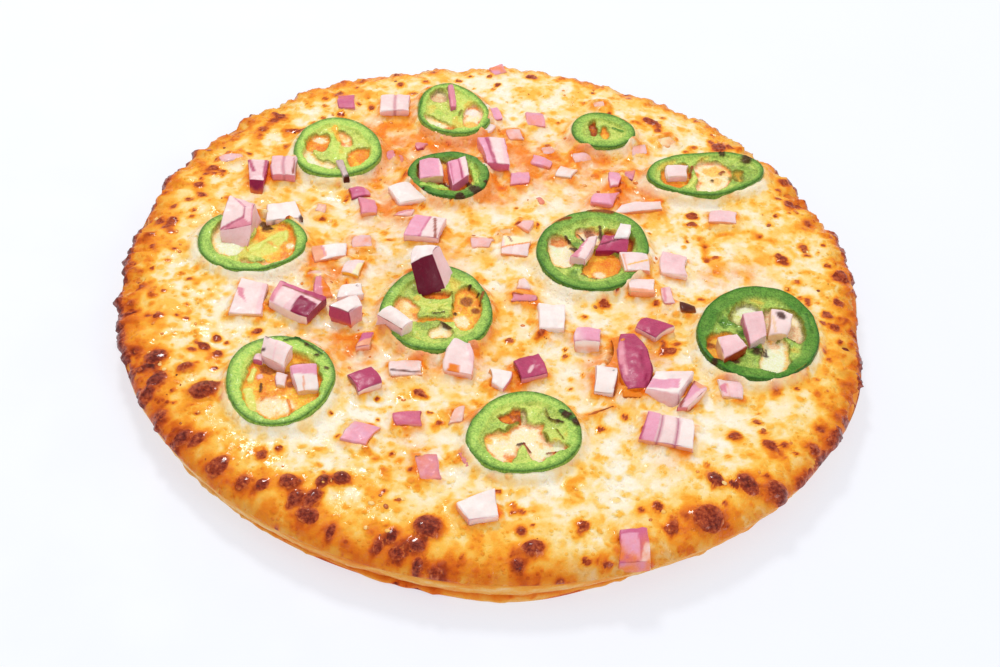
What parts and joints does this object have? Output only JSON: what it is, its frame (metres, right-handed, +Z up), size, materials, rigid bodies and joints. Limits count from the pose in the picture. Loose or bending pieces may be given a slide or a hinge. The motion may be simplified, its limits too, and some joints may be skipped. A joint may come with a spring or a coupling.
{
  "type": "garlic bread",
  "caption": "Round thin garlic bread covered with browned melted cheese, masala oil, green chilli pepper rings and diced red onion.",
  "frame": {"origin": "middle of the flat underside", "axes": "+Z up through the toppings, +Y away from the viewer of the picture, +X to the viewer's right"},
  "size_m": [0.2069, 0.2111, 0.0246],
  "materials": {
    "crust": "dry baked crust",
    "cheese": "oily melted and browned cheese",
    "pepper": "moist flesh with a shiny skin",
    "onion_white": "moist, slightly clear",
    "onion_pale": "moist, slightly clear",
    "onion_pink": "moist, slightly clear",
    "onion_purple": "shiny skin",
    "onion_dark": "shiny skin"
  },
  "bodies": {
    "root": {"bread_base": "crust", "melted_cheese": "cheese", "pepper_ring_01": "pepper", "pepper_ring_02": "pepper", "pepper_ring_03": "pepper", "pepper_ring_04": "pepper", "pepper_ring_05": "pepper", "pepper_ring_06": "pepper", "pepper_ring_07": "pepper", "pepper_ring_08": "pepper", "pepper_ring_09": "pepper", "pepper_ring_10": "pepper", "pepper_ring_11": "pepper", "onion_01": "onion_pale", "onion_02": "onion_purple", "onion_03": "onion_pink", "onion_04": "onion_pale", "onion_05": "onion_pink", "onion_06": "onion_purple", "onion_07": "onion_purple", "onion_08": "onion_white", "onion_09": "onion_pale", "onion_10": "onion_purple", "onion_11": "onion_white", "onion_12": "onion_white", "onion_13": "onion_pale", "onion_14": "onion_dark", "onion_15": "onion_purple", "onion_16": "onion_pink", "onion_17": "onion_pale", "onion_18": "onion_pink", "onion_19": "onion_dark", "onion_20": "onion_pale", "onion_21": "onion_pink", "onion_22": "onion_white", "onion_23": "onion_pink", "onion_24": "onion_purple", "onion_25": "onion_pale", "onion_26": "onion_pink", "onion_27": "onion_pink", "onion_28": "onion_pink", "onion_29": "onion_white", "onion_30": "onion_pink", "onion_31": "onion_purple", "onion_32": "onion_pale", "onion_33": "onion_pale", "onion_34": "onion_purple", "onion_35": "onion_white", "onion_36": "onion_pink", "onion_37": "onion_pink", "onion_38": "onion_white", "onion_39": "onion_pink", "onion_40": "onion_pale", "onion_41": "onion_pale", "onion_42": "onion_pale", "onion_43": "onion_pale", "onion_44": "onion_pink", "onion_45": "onion_pale", "onion_46": "onion_pink", "onion_47": "onion_pale"}
  },
  "joints": []
}
